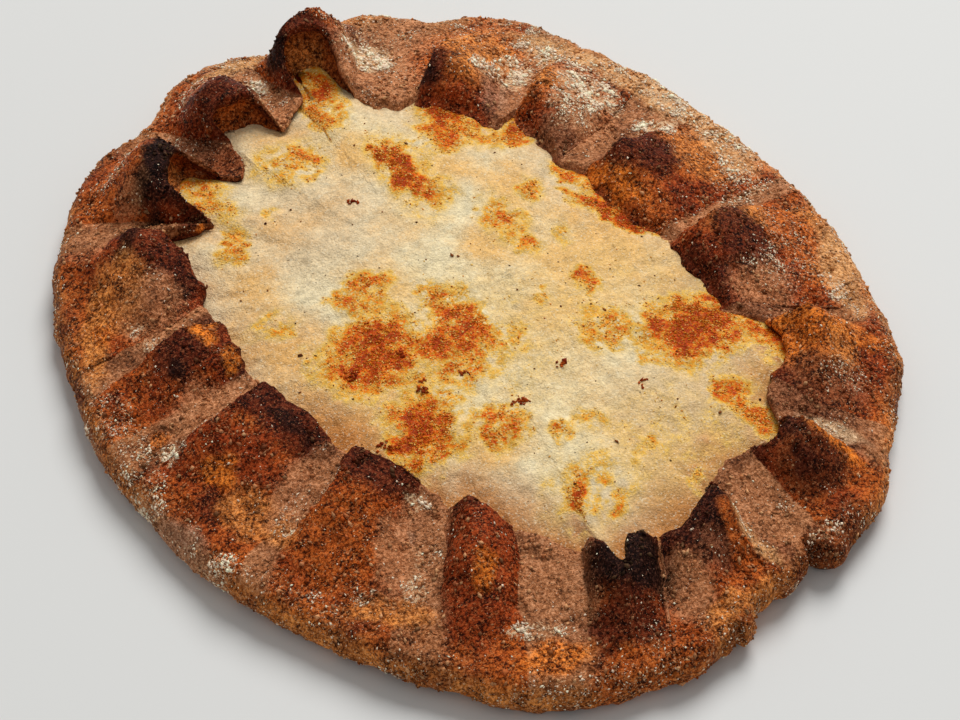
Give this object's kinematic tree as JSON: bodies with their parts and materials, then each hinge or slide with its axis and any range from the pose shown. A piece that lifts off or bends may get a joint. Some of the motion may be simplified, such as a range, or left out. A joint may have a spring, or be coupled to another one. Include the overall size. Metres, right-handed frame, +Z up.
{
  "type": "karelian pasty",
  "caption": "Open oval rye pasty with a crimped, pleated rim around a smooth browned porridge filling.",
  "frame": {"origin": "centre of the pasty's outline, on the flat underside it rests on", "axes": "+Y along the pasty's length, towards the end that its pleats lean to; +Z up, out of the filling"},
  "size_m": [0.0932, 0.1114, 0.0137],
  "materials": {
    "rye_crust": "rough, granular, toasted brown with flour",
    "porridge_filling": "soft satin, pale cream with browned patches"
  },
  "bodies": {
    "root": {"crust": "rye_crust", "filling": "porridge_filling"}
  },
  "joints": []
}
